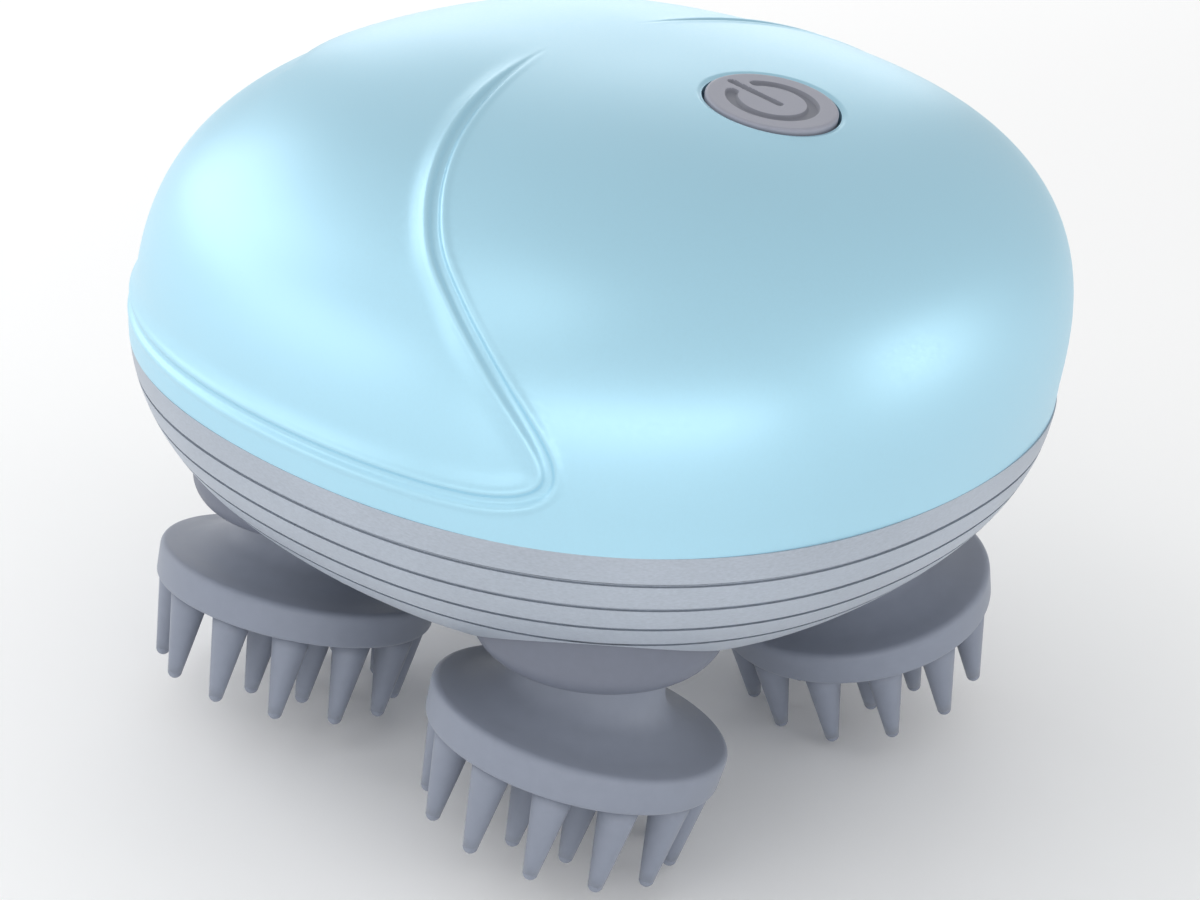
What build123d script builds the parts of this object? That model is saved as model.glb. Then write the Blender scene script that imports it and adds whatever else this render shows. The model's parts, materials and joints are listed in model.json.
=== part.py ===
"""Cordless scalp massager: a pebble-shaped casing that turns four inclined silicone brush heads.

Millimetres, +Z up. Origin: on the standing surface under the middle of the casing.
The long axis is Y, with the power button towards -Y and the charge socket at +Y.
"""
from build123d import *
from math import acos, cos, pi, radians, sin, tan
import os

# ---- casing shape ---------------------------------------------------------------------------
HALF_LENGTH = 52.0          # along Y at the widest level
HALF_WIDTH = 50.0           # along X at the widest level
WIDEST_Z = 49.7             # level of the widest outline
DOME_HEIGHT = 33.8          # crown above the widest level
BOWL_DEPTH = 30.2           # depth of the full bowl curve, before its base is cut flat
PLAN_POWER = 2.3            # 2 is an ellipse, more is squarer
DOME_POWER = 2.69
BOWL_POWER = 2.15
DOME_LEAN = -0.11           # crown moves towards -Y by this much per mm of height
WALL = 2.2
SEAM_Z = 47.6               # joint between the upper and lower casings
BASE_Z = 28.2               # flat underside of the bowl
FLOOR_TOP = 31.8
COVER_THICK = 1.6
COVER_RADIUS = 33.6
OUTLINE_POINTS = 32

# ---- heads ----------------------------------------------------------------------------------
HUB_REACH = 32.0            # from the middle to each hub axis
HUB_X = HUB_REACH * cos(pi / 4)
HUB_RADIUS = 14.0
HUB_GAP = 0.6
HUB_FACE_Z = 26.2           # lower face of the hub
HUB_TOP_Z = 34.0
HUB_ROUND = 3.2             # rounding of the lower edge of the hub
TILT = 14.5                 # inclination of each head in degrees
PIVOT_Z = 23.3              # where the inclined axis crosses the hub axis
DISC_RADIUS = 16.9
DISC_FACE = 10.0            # brush face below the pivot, along the inclined axis
RIM_THICK = 4.2
NECK_RADIUS = 8.0
NECK_TOP = 4.6              # above the pivot, along the inclined axis
BRISTLE_LENGTH = 10.5
BRISTLE_ROOT = 2.3
BRISTLE_TIP = 0.85
BRISTLE_RINGS = ((14.0, 12), (7.9, 8))
CORNERS = {                 # side, end, and the compass angle that the bristles lean towards
    "front_left": (-1, -1, 168.0),
    "rear_left": (-1, 1, 180.0),
    "front_right": (1, -1, 336.0),
    "rear_right": (1, 1, 348.0),
}

# ---- gear train -----------------------------------------------------------------------------
FINE = 0.6                  # module of the motor stage
COARSE = 1.0                # module of the head stage
PRESSURE = radians(25)
BACKLASH = 0.16
MOTOR_TEETH = 10
WHEEL_TEETH = 60
PINION_TEETH = 12
DRIVE_TEETH = 36
OUTPUT_TEETH = 28
COMPOUND_X = COARSE * (PINION_TEETH + DRIVE_TEETH) / 2
MOTOR_X = COMPOUND_X - FINE * (MOTOR_TEETH + WHEEL_TEETH) / 2
TRAY_Z = 36.0
TRAY_THICK = 2.0
GEAR_Z = 38.7
GEAR_THICK = 4.6
WHEEL_Z = 45.0
WHEEL_THICK = 3.0
PLATE_Z = 49.2
PLATE_THICK = 2.0
PLATE_TOP = PLATE_Z + PLATE_THICK
RUN_FIT = 0.05              # radial clearance of every running fit
SPINDLE_RADIUS = 3.0
SPINDLE_TOP_RADIUS = 2.0
COMPOUND_PIN = 1.5
DRIVE_PIN = 2.0
STUB_RADIUS = 5.0

# ---- fixings --------------------------------------------------------------------------------
CASE_POSTS = ((0, 37), (0, -37), (-37, 0))
TRAY_POSTS = ((0, 27.5), (0, -27.5), (-27.5, 0))
SCREW_RADIUS = 1.25
SCREW_HEAD = 2.3
SCREW_HEAD_THICK = 1.5

# ---- motor, cell and electronics ------------------------------------------------------------
MOTOR_RADIUS = 12.2
MOTOR_WALL = 0.8
MOTOR_LENGTH = 24.0
MOTOR_TOP = PLATE_TOP + MOTOR_LENGTH
MOTOR_SHAFT = 1.0
CELL_RADIUS = 7.1
CELL_LENGTH = 50.0
CELL_Y = 24.5
CELL_Z = 61.0
BUTTON_Y = -22.1
BUTTON_RADIUS = 7.2
BUTTON_GAP = 0.35
BUTTON_TILT = 6.7
BUTTON_THICK = 2.2
BOARD_DROP = 12.0           # top of the board below the button face
BOARD_THICK = 1.6
PORT_Z = 41.6
PORT_SLOPE = 21.0           # lean of the casing wall at the charge port
FLAP_SIZE = (13.0, 7.0, 1.6)

made = {}


def keep(name, part):
    """Label one finished piece and remember it for export."""
    part.label = name
    made[name] = part


# ---- casing outlines ------------------------------------------------------------------------
def outline_size(height, inset):
    """Half length and half width of the pebble at a height, with its skin moved in by inset."""
    rise = height - WIDEST_Z
    if rise >= 0:
        power = DOME_POWER
        share = rise / (DOME_HEIGHT - inset)
    else:
        power = BOWL_POWER
        share = -rise / (BOWL_DEPTH - inset)
    shrink = (1 - min(share, 1) ** power) ** (1 / power)
    return (HALF_LENGTH - inset) * shrink, (HALF_WIDTH - inset) * shrink


def draw_outline(height, inset, grow=0.0, mode=Mode.ADD):
    """Closed plan outline of the pebble, drawn inside a sketch."""
    half_length, half_width = outline_size(height, inset)
    middle = DOME_LEAN * max(height - WIDEST_Z, 0)
    points = []
    for step in range(OUTLINE_POINTS):
        angle = 2 * pi * (step + 0.5) / OUTLINE_POINTS
        across = abs(cos(angle)) ** (2 / PLAN_POWER) * (1 if cos(angle) > 0 else -1)
        along = abs(sin(angle)) ** (2 / PLAN_POWER) * (1 if sin(angle) > 0 else -1)
        points.append(((half_width + grow) * across, middle + (half_length + grow) * along))
    with BuildLine() as rim:
        Spline(*points, periodic=True)
    make_face(rim.edges(), mode=mode)


def pebble(levels, inset):
    """Solid pebble between the first and last of the given levels."""
    with BuildPart() as body:
        for height in levels:
            with BuildSketch(Plane.XY.offset(height)):
                draw_outline(height, inset)
        loft()
    return body.part


def dome_levels(inset, start):
    """Levels for a dome, closer together towards the crown."""
    top = DOME_HEIGHT - inset
    rises = [top * sin(radians(angle)) ** (2 / DOME_POWER) for angle in (12, 26, 40, 53, 65, 76)]
    crown = top * (1 - 0.12 ** DOME_POWER) ** (1 / DOME_POWER)
    return [start, WIDEST_Z] + [WIDEST_Z + rise for rise in rises] + [WIDEST_Z + crown]


def bowl_levels(bottom):
    """Levels for the bowl from its cut base up to the seam."""
    span = SEAM_Z - bottom
    return [bottom + span * share for share in (0, 0.2, 0.4, 0.6, 0.8, 1)]


def button_plane(drop=0.0):
    """Plane of the button face, lowered along its own normal."""
    tilt = radians(BUTTON_TILT)
    half_length, _ = outline_size(WIDEST_Z, 0)
    lift = DOME_HEIGHT
    for _ in range(6):
        reach = abs(BUTTON_Y - DOME_LEAN * lift) / half_length
        lift = DOME_HEIGHT * (1 - reach ** DOME_POWER) ** (1 / DOME_POWER)
    face = Vector(0, BUTTON_Y, WIDEST_Z + lift)
    normal = Vector(0, -sin(tilt), cos(tilt))
    return Plane(origin=face - normal * drop, x_dir=(1, 0, 0), z_dir=normal)


def port_plane(depth=0.0):
    """Plane of the charge port on the rear wall: x across, y up the wall, z outwards."""
    slope = radians(PORT_SLOPE)
    half_length, _ = outline_size(PORT_Z, 0)
    normal = Vector(0, cos(slope), -sin(slope))
    return Plane(origin=Vector(0, half_length, PORT_Z) - normal * depth, x_dir=(-1, 0, 0), z_dir=normal)


def hub_centres():
    """Axis of each hub in plan."""
    return [(side * HUB_X, end * HUB_X) for side, end, _ in CORNERS.values()]


def make_upper_casing():
    """Blue dome with screw posts, a button well and board posts."""
    outer = pebble(dome_levels(0, SEAM_Z), 0)
    inner = pebble(dome_levels(WALL, SEAM_Z), WALL)
    with BuildPart() as upper_casing:
        with BuildSketch(Plane.XY.offset(SEAM_Z)):
            with Locations(*CASE_POSTS):
                Circle(3.4)
        extrude(amount=DOME_HEIGHT)
        with BuildSketch(button_plane(BOARD_DROP)):
            with Locations(*board_holes()):
                Circle(2.4)
        extrude(amount=BOARD_DROP)
        with BuildSketch(button_plane(BUTTON_THICK + 4.6)):
            Circle(BUTTON_RADIUS + 4)
        extrude(amount=6.2)
        add(inner, mode=Mode.INTERSECT)
        add(outer - inner)
        with BuildSketch(button_plane(8)):
            Circle(BUTTON_RADIUS + BUTTON_GAP)
        extrude(amount=16, mode=Mode.SUBTRACT)
        with BuildSketch(button_plane(8)):
            Circle(BUTTON_RADIUS + 1.8)
        extrude(amount=8 - BUTTON_THICK, mode=Mode.SUBTRACT)
        with BuildSketch(Plane.XY.offset(SEAM_Z)):
            with Locations(*CASE_POSTS):
                Circle(SCREW_RADIUS)
        extrude(amount=9, mode=Mode.SUBTRACT)
        with BuildSketch(button_plane(BOARD_DROP)):
            with Locations(*board_holes()):
                Circle(0.9)
        extrude(amount=5, mode=Mode.SUBTRACT)
    keep("upper_casing", upper_casing.part)


def board_holes():
    """Screw positions of the circuit board, in the button plane."""
    return ((-12, -8.5), (12, -8.5), (-12, 4.7), (12, 4.7))


def make_lower_casing():
    """Grey banded bowl with four hub openings, posts and the port recess."""
    outer = pebble(bowl_levels(BASE_Z), 0)
    inner = pebble(bowl_levels(FLOOR_TOP), WALL)
    with BuildPart() as lower_casing:
        with BuildSketch(Plane.XY.offset(BASE_Z)):
            with Locations(*CASE_POSTS):
                Circle(3.4)
        extrude(amount=SEAM_Z - BASE_Z)
        with BuildSketch(Plane.XY.offset(BASE_Z)):
            with Locations(*TRAY_POSTS):
                Circle(3.4)
            Circle(5)
        extrude(amount=TRAY_Z - BASE_Z)
        add(inner, mode=Mode.INTERSECT)
        add(outer - inner)
        with BuildSketch(Plane.XY.offset(BASE_Z)):
            with Locations(*hub_centres()):
                Circle(HUB_RADIUS + HUB_GAP)
        extrude(amount=9, mode=Mode.SUBTRACT)
        with BuildSketch(Plane.XY.offset(BASE_Z)):
            draw_base_cover(0)
        extrude(amount=COVER_THICK, mode=Mode.SUBTRACT)
        with BuildSketch(Plane.XY.offset(BASE_Z)):
            with Locations(*(CASE_POSTS + TRAY_POSTS)):
                Circle(SCREW_RADIUS)
        extrude(amount=SEAM_Z - BASE_Z, mode=Mode.SUBTRACT)
        with BuildSketch(Plane.XY.offset(BASE_Z)):
            with Locations(*(CASE_POSTS + TRAY_POSTS)):
                Circle(SCREW_HEAD + 0.1)
        extrude(amount=COVER_THICK + SCREW_HEAD_THICK, mode=Mode.SUBTRACT)
        with BuildSketch(Plane.XY.offset(BASE_Z)):
            Circle(SCREW_RADIUS)
        extrude(amount=5.4, mode=Mode.SUBTRACT)
        with BuildSketch(Plane.XY.offset(FLOOR_TOP)):
            Circle(DRIVE_PIN)
        extrude(amount=TRAY_Z - FLOOR_TOP, mode=Mode.SUBTRACT)
        cut_band_grooves()
        cut_gasket_groove()
        cut_port()
    keep("lower_casing", lower_casing.part)


BAND_GROOVES = (44.0, 40.6, 37.3, 34.0)
GROOVE_DEPTH = 0.35
GROOVE_WIDTH = 0.45


def cut_band_grooves():
    """Fine lines running round the bowl."""
    for height in BAND_GROOVES:
        with BuildSketch(Plane.XY.offset(height)) as ring:
            draw_outline(height, 0, 4)
            draw_outline(height, 0, -GROOVE_DEPTH, Mode.SUBTRACT)
        extrude(ring.sketch, amount=GROOVE_WIDTH, mode=Mode.SUBTRACT)


GASKET_OUTER = 0.8
GASKET_INNER = 1.5
GASKET_DEPTH = 1.0


def draw_gasket():
    """Ring outline of the case gasket, between the two skins of the wall."""
    draw_outline(SEAM_Z, 0, -GASKET_OUTER)
    draw_outline(SEAM_Z, 0, -GASKET_INNER, Mode.SUBTRACT)


def cut_gasket_groove():
    """Groove in the rim of the bowl for the gasket."""
    with BuildSketch(Plane.XY.offset(SEAM_Z)) as ring:
        draw_gasket()
    extrude(ring.sketch, amount=-GASKET_DEPTH, mode=Mode.SUBTRACT)


def make_gasket():
    """Silicone ring squeezed between the casings."""
    with BuildPart() as case_gasket:
        with BuildSketch(Plane.XY.offset(SEAM_Z)):
            draw_gasket()
        extrude(amount=-GASKET_DEPTH)
    keep("case_gasket", case_gasket.part)


SOCKET_SIZE = (9.0, 3.3, 7.4)
PORT_WELL = (9.6, 3.9)


def cut_port():
    """Recess for the flap, a slot for the charge socket and a hole for the flap anchor."""
    width, tall, thick = FLAP_SIZE
    with BuildSketch(port_plane(thick + 0.2)) as recess:
        with Locations((0, -1.2)):
            RectangleRounded(width + 0.7, tall + 3.1, 1.6)
    extrude(recess.sketch, amount=6, mode=Mode.SUBTRACT)
    with BuildSketch(port_plane(6)) as well:
        RectangleRounded(*PORT_WELL, 1.6)
    extrude(well.sketch, amount=8, mode=Mode.SUBTRACT)


def draw_base_cover(gap):
    """Cross-shaped outline between the hubs."""
    Circle(COVER_RADIUS - gap)
    with Locations(*hub_centres()):
        Circle(HUB_RADIUS + 3.6 + gap, mode=Mode.SUBTRACT)


def make_base_cover():
    """Flush cover over the screws of the underside."""
    with BuildPart() as base_cover:
        with BuildSketch(Plane.XY.offset(BASE_Z)):
            draw_base_cover(0.15)
            Circle(SCREW_RADIUS, mode=Mode.SUBTRACT)
        extrude(amount=COVER_THICK)
        with BuildSketch(Plane.XY.offset(BASE_Z)):
            Circle(SCREW_HEAD + 0.1)
        extrude(amount=COVER_THICK, mode=Mode.SUBTRACT)
    keep("base_cover", base_cover.part)


# ---- gears ----------------------------------------------------------------------------------
def half_angle(radius, teeth, module):
    """Half the angle that one tooth fills at a radius."""
    pitch_radius = module * teeth / 2
    base_radius = pitch_radius * cos(PRESSURE)
    roll = acos(min(base_radius / radius, 1))
    involute = tan(PRESSURE) - PRESSURE - tan(roll) + roll
    return pi / (2 * teeth) - BACKLASH * module / (2 * pitch_radius) + involute


def on_circle(radius, angle):
    """Point at a radius and an angle in radians."""
    return (radius * cos(angle), radius * sin(angle))


def draw_gear(teeth, module, phase):
    """Involute spur gear outline with a tooth centred on the phase angle."""
    pitch_radius = module * teeth / 2
    tip = pitch_radius + 0.8 * module
    root = pitch_radius - 1.05 * module
    base = max(pitch_radius * cos(PRESSURE), root)
    middle = (tip + base) / 2
    at_tip = half_angle(tip, teeth, module)
    at_middle = half_angle(middle, teeth, module)
    at_base = half_angle(base, teeth, module)
    first = None
    last = None
    with BuildLine() as outline:
        for index in range(teeth):
            centre = radians(phase) + 2 * pi * index / teeth
            rising = [on_circle(base, centre - at_base), on_circle(middle, centre - at_middle)]
            rising.append(on_circle(tip, centre - at_tip))
            falling = [on_circle(tip, centre + at_tip), on_circle(middle, centre + at_middle)]
            falling.append(on_circle(base, centre + at_base))
            foot_in = on_circle(root, centre - at_base)
            foot_out = on_circle(root, centre + at_base)
            if last is None:
                first = foot_in
            else:
                Line(last, foot_in)
            if base > root + 0.01:
                Line(foot_in, rising[0])
                Line(falling[2], foot_out)
            else:
                foot_out = falling[2]
                first = rising[0] if last is None else first
            ThreePointArc(*rising)
            Line(rising[2], falling[0])
            ThreePointArc(*falling)
            last = foot_out
        Line(last, first)
    make_face(outline.edges())


def gear_blank(centre, height, teeth, module, phase, thick):
    """Toothed wheel standing on a plane over its centre."""
    with BuildSketch(Plane(origin=(centre[0], centre[1], height))) as profile:
        draw_gear(teeth, module, phase)
    extrude(profile.sketch, amount=thick)


def disc(centre, height, radius, thick, mode=Mode.ADD):
    """Round boss, bore or pin on a vertical axis."""
    with BuildSketch(Plane(origin=(centre[0], centre[1], height))) as profile:
        Circle(radius)
    extrude(profile.sketch, amount=thick, mode=mode)


def make_compound_gear():
    """Moulded wheel and pinion on one pin."""
    centre = (COMPOUND_X, 0)
    with BuildPart() as compound_gear:
        gear_blank(centre, GEAR_Z, PINION_TEETH, COARSE, 15, WHEEL_Z - GEAR_Z)
        gear_blank(centre, WHEEL_Z, WHEEL_TEETH, FINE, 0, WHEEL_THICK)
        disc(centre, WHEEL_Z, 3.5, WHEEL_THICK + 0.8)
        disc(centre, GEAR_Z, COMPOUND_PIN + RUN_FIT, 12, Mode.SUBTRACT)
    keep("compound_gear", compound_gear.part)
    with BuildPart() as compound_axle:
        disc(centre, TRAY_Z, COMPOUND_PIN, PLATE_TOP - TRAY_Z)
    keep("compound_axle", compound_axle.part)


def make_drive_gear():
    """Central gear that turns all four heads, on a fixed pin with a clip."""
    with BuildPart() as drive_gear:
        gear_blank((0, 0), GEAR_Z, DRIVE_TEETH, COARSE, 0, GEAR_THICK)
        disc((0, 0), GEAR_Z, DRIVE_PIN + RUN_FIT, GEAR_THICK, Mode.SUBTRACT)
        with BuildSketch(Plane.XY.offset(GEAR_Z)):
            with PolarLocations(10, 6):
                Circle(3)
        extrude(amount=GEAR_THICK, mode=Mode.SUBTRACT)
    keep("drive_gear", drive_gear.part)
    with BuildPart() as drive_axle:
        disc((0, 0), FLOOR_TOP + 2, DRIVE_PIN, 44.4 - FLOOR_TOP - 2)
        disc((0, 0), 43.6, 1.5, 0.4)
    keep("drive_axle", drive_axle.part)
    with BuildPart() as drive_clip:
        disc((0, 0), 43.6, 3.6, 0.5)
        disc((0, 0), 43.6, DRIVE_PIN, 0.5, Mode.SUBTRACT)
    keep("drive_clip", drive_clip.part)


def make_tray():
    """Plate under the gears that carries the bushes and seals of the spindles."""
    ceiling = pebble((TRAY_Z - 2, TRAY_Z, TRAY_Z + TRAY_THICK + 0.2), WALL + 0.3)
    with BuildPart() as gear_tray:
        with BuildSketch(Plane.XY.offset(TRAY_Z)):
            Circle(60)
        extrude(amount=TRAY_THICK)
        with BuildSketch(Plane.XY.offset(TRAY_Z - 1.4)):
            with Locations(*hub_centres()):
                Circle(8)
        extrude(amount=1.4)
        add(ceiling, mode=Mode.INTERSECT)
        with BuildSketch(Plane.XY.offset(TRAY_Z)):
            with Locations(*TRAY_POSTS):
                Circle(3.2)
        extrude(amount=PLATE_Z - TRAY_Z)
        with BuildSketch(Plane.XY.offset(TRAY_Z)):
            with Locations(*TRAY_POSTS):
                Circle(SCREW_RADIUS)
        extrude(amount=PLATE_Z - TRAY_Z, mode=Mode.SUBTRACT)
        with BuildSketch(Plane.XY.offset(TRAY_Z)):
            with Locations(*CASE_POSTS):
                Circle(3.8)
            Circle(DRIVE_PIN)
            with Locations((COMPOUND_X, 0)):
                Circle(COMPOUND_PIN)
            with Locations(*hub_centres()):
                Circle(5)
        extrude(amount=TRAY_THICK, mode=Mode.SUBTRACT)
        with BuildSketch(Plane.XY.offset(TRAY_Z - 1.4)):
            with Locations(*hub_centres()):
                Circle(6.5)
        extrude(amount=1.4, mode=Mode.SUBTRACT)
    keep("gear_tray", gear_tray.part)


def ring_at_hubs(name, height, inner, outer, thick):
    """Four equal rings, one on each hub axis."""
    with BuildPart() as rings:
        with BuildSketch(Plane.XY.offset(height)):
            with Locations(*hub_centres()):
                Circle(outer)
                Circle(inner, mode=Mode.SUBTRACT)
        extrude(amount=thick)
    keep(name, rings.part)


def make_gearbox_plate():
    """Plate over the gears that carries the motor, the cell cradle and the upper bearings."""
    with BuildPart() as gearbox_plate:
        with BuildSketch(Plane.XY.offset(PLATE_Z)):
            Circle(39)
            with Locations(*CASE_POSTS):
                Circle(4.2, mode=Mode.SUBTRACT)
            with Locations(*TRAY_POSTS):
                Circle(SCREW_RADIUS, mode=Mode.SUBTRACT)
            with Locations((COMPOUND_X, 0)):
                Circle(COMPOUND_PIN, mode=Mode.SUBTRACT)
            with Locations(*hub_centres()):
                Circle(SPINDLE_TOP_RADIUS + RUN_FIT, mode=Mode.SUBTRACT)
            with Locations((MOTOR_X, 0)):
                Circle(3.4, mode=Mode.SUBTRACT)
        extrude(amount=PLATE_THICK)
    keep("gearbox_plate", gearbox_plate.part)


# ---- motor ----------------------------------------------------------------------------------
def make_motor():
    """Small direct-current motor: can, magnets, end cap, terminals, rotor and pinion."""
    centre = (MOTOR_X, 0)
    with BuildPart() as motor_can:
        disc(centre, PLATE_TOP, MOTOR_RADIUS, MOTOR_LENGTH)
        disc(centre, PLATE_TOP + MOTOR_WALL, MOTOR_RADIUS - MOTOR_WALL, MOTOR_LENGTH, Mode.SUBTRACT)
        disc(centre, PLATE_TOP - 1.2, 3.4, 1.2)
        disc(centre, PLATE_Z, MOTOR_SHAFT + RUN_FIT, 8, Mode.SUBTRACT)
    keep("motor_can", motor_can.part)
    with BuildPart() as motor_magnets:
        with BuildSketch(Plane(origin=(MOTOR_X, 0, PLATE_TOP + 4))):
            Circle(MOTOR_RADIUS - MOTOR_WALL)
            Circle(9.4, mode=Mode.SUBTRACT)
            Rectangle(30, 6, mode=Mode.SUBTRACT)
        extrude(amount=14)
    keep("motor_magnets", motor_magnets.part)
    with BuildPart() as motor_end_cap:
        disc(centre, MOTOR_TOP - 1.8, MOTOR_RADIUS - MOTOR_WALL, 1.8)
        disc(centre, MOTOR_TOP, 4, 0.8)
        disc(centre, MOTOR_TOP - 2, MOTOR_SHAFT + RUN_FIT, 2, Mode.SUBTRACT)
    keep("motor_end_cap", motor_end_cap.part)
    with BuildPart() as motor_terminals:
        with BuildSketch(Plane(origin=(MOTOR_X, 0, MOTOR_TOP))):
            with Locations((8.5, 0), (-8.5, 0)):
                Rectangle(0.5, 2.6)
        extrude(amount=3)
    keep("motor_terminals", motor_terminals.part)
    with BuildPart() as motor_rotor:
        disc(centre, PLATE_TOP + 4.5, 9.0, 13)
        disc(centre, PLATE_TOP + 17.5, 3.2, 2.6)
        disc(centre, WHEEL_Z - 0.2, MOTOR_SHAFT, MOTOR_TOP - WHEEL_Z)
    keep("motor_rotor", motor_rotor.part)
    with BuildPart() as motor_pinion:
        gear_blank(centre, WHEEL_Z - 0.1, MOTOR_TEETH, FINE, 18, WHEEL_THICK + 0.6)
        disc(centre, WHEEL_Z - 0.2, MOTOR_SHAFT, 5, Mode.SUBTRACT)
    keep("motor_pinion", motor_pinion.part)


# ---- hubs and heads -------------------------------------------------------------------------
def head_plane(corner, along=0.0):
    """Plane square to the inclined axis of a head: z up the axis, x towards its low side."""
    side, end, lean = CORNERS[corner]
    tilt = radians(TILT)
    heading = radians(lean)
    upward = Vector(-cos(heading) * sin(tilt), -sin(heading) * sin(tilt), cos(tilt))
    low_side = Vector(-cos(heading) * cos(tilt), -sin(heading) * cos(tilt), -sin(tilt))
    pivot = Vector(side * HUB_X, end * HUB_X, PIVOT_Z)
    return Plane(origin=pivot + upward * along, x_dir=low_side, z_dir=upward)


def head_half_plane(corner):
    """Plane through the inclined axis, for revolved profiles: x outwards, y up the axis."""
    frame = head_plane(corner)
    return Plane(origin=frame.origin, x_dir=frame.x_dir, z_dir=-frame.y_dir)


def make_drive_line(corner):
    """Output gear and stepped spindle of one head."""
    side, end, _ = CORNERS[corner]
    centre = (side * HUB_X, end * HUB_X)
    toothed = 45 + 90 * (side < 0) if end > 0 else 315 - 90 * (side < 0)
    with BuildPart() as output_gear:
        gear_blank(centre, GEAR_Z, OUTPUT_TEETH, COARSE, toothed + 180, GEAR_THICK)
        disc(centre, GEAR_Z, SPINDLE_RADIUS, GEAR_THICK, Mode.SUBTRACT)
    keep("output_gear_" + corner, output_gear.part)
    with BuildPart() as spindle:
        disc(centre, 31.0, SPINDLE_RADIUS, 44.6 - 31.0)
        disc(centre, 44.6, SPINDLE_TOP_RADIUS, 50.8 - 44.6)
    keep("spindle_" + corner, spindle.part)


POCKET_RADIUS = NECK_RADIUS + 0.5
STUB_END = 4.6              # lower end of the stub below the pivot
POCKET_TOP = 5.2            # top of the inclined pocket above the pivot


def make_crank_hub(corner):
    """Turning cup with an inclined pocket and stub that hold the head at its angle."""
    side, end, _ = CORNERS[corner]
    centre = (side * HUB_X, end * HUB_X)
    with BuildPart() as crank_hub:
        disc(centre, HUB_FACE_Z, HUB_RADIUS, HUB_TOP_Z - HUB_FACE_Z)
        fillet(crank_hub.edges().group_by(Axis.Z)[0], HUB_ROUND)
        disc(centre, 31.0, SPINDLE_RADIUS, 4, Mode.SUBTRACT)
        with BuildSketch(head_plane(corner, -6)):
            Circle(POCKET_RADIUS)
        extrude(amount=6 + POCKET_TOP, mode=Mode.SUBTRACT)
        with BuildSketch(head_plane(corner, -STUB_END)):
            Circle(STUB_RADIUS)
        extrude(amount=STUB_END + POCKET_TOP)
    keep("crank_hub_" + corner, crank_hub.part)


CORE_SOCKET = STUB_RADIUS + RUN_FIT
CORE_OUTER = 6.6
CORE_FLANGE = 14.2
CORE_TOP = NECK_TOP - 0.6
CORE_FLANGE_TOP = -6.6
CORE_BOTTOM = -8.2


def draw_core_outline():
    """Half section of the core, solid, including its socket."""
    with BuildLine() as outline:
        Polyline(
            (0, CORE_TOP),
            (CORE_OUTER, CORE_TOP),
            (CORE_OUTER, CORE_FLANGE_TOP),
            (CORE_FLANGE, CORE_FLANGE_TOP),
            (CORE_FLANGE, CORE_BOTTOM),
            (0, CORE_BOTTOM),
            close=True,
        )
    make_face(outline.edges())


def make_head_core(corner):
    """Stiff insert with a blind socket that slides onto the stub."""
    plane = head_half_plane(corner)
    axis = Axis(plane.origin, plane.y_dir)
    with BuildPart() as head_core:
        with BuildSketch(plane):
            draw_core_outline()
        revolve(axis=axis)
        with BuildSketch(head_plane(corner, CORE_TOP)):
            Circle(CORE_SOCKET)
        extrude(amount=-(CORE_TOP + STUB_END + 0.3), mode=Mode.SUBTRACT)
    keep("head_core_" + corner, head_core.part)


def make_massage_head(corner):
    """Silicone head: flared neck, thick-rimmed disc and 21 tapered bristles."""
    plane = head_half_plane(corner)
    axis = Axis(plane.origin, plane.y_dir)
    rim_top = RIM_THICK - DISC_FACE
    with BuildPart() as massage_head:
        with BuildSketch(plane):
            with BuildLine():
                Line((0, NECK_TOP), (NECK_RADIUS, NECK_TOP))
                Line((NECK_RADIUS, NECK_TOP), (NECK_RADIUS, 0.2))
                ThreePointArc((NECK_RADIUS, 0.2), (10.1, -3.3), (DISC_RADIUS - 0.7, rim_top + 0.3))
                Line((DISC_RADIUS - 0.7, rim_top + 0.3), (DISC_RADIUS, rim_top - 0.5))
                Line((DISC_RADIUS, rim_top - 0.5), (DISC_RADIUS - 0.3, -DISC_FACE + 0.5))
                Line((DISC_RADIUS - 0.3, -DISC_FACE + 0.5), (DISC_RADIUS - 0.9, -DISC_FACE))
                Line((DISC_RADIUS - 0.9, -DISC_FACE), (0, -DISC_FACE))
                Line((0, -DISC_FACE), (0, NECK_TOP))
            make_face()
        revolve(axis=axis)
        with BuildSketch(plane):
            draw_core_outline()
        revolve(axis=axis, mode=Mode.SUBTRACT)
        with BuildSketch(head_plane(corner, CORE_TOP)):
            Circle(CORE_OUTER)
        extrude(amount=2, mode=Mode.SUBTRACT)
        for radius, count in BRISTLE_RINGS + ((0.0, 1),):
            add_bristles(corner, radius, count)
    keep("massage_head_" + corner, massage_head.part)


def add_bristles(corner, radius, count):
    """One ring of bristles; two of the outer ring straddle the low side."""
    frame = head_plane(corner)
    end = BRISTLE_LENGTH - BRISTLE_TIP
    for index in range(count):
        angle = 2 * pi * (index + 0.5) / count
        foot = frame.from_local_coords((radius * cos(angle), radius * sin(angle), 0.6 - DISC_FACE))
        section = Plane(origin=foot, x_dir=frame.x_dir, z_dir=-frame.y_dir)
        with BuildSketch(section) as half:
            with BuildLine():
                Line((0, 0), (BRISTLE_ROOT, 0))
                Line((BRISTLE_ROOT, 0), (BRISTLE_TIP, -0.6 - end))
                RadiusArc((BRISTLE_TIP, -0.6 - end), (0, -0.6 - BRISTLE_LENGTH), BRISTLE_TIP)
                Line((0, -0.6 - BRISTLE_LENGTH), (0, 0))
            make_face()
        revolve(half.sketch, axis=Axis(section.origin, section.y_dir))


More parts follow.
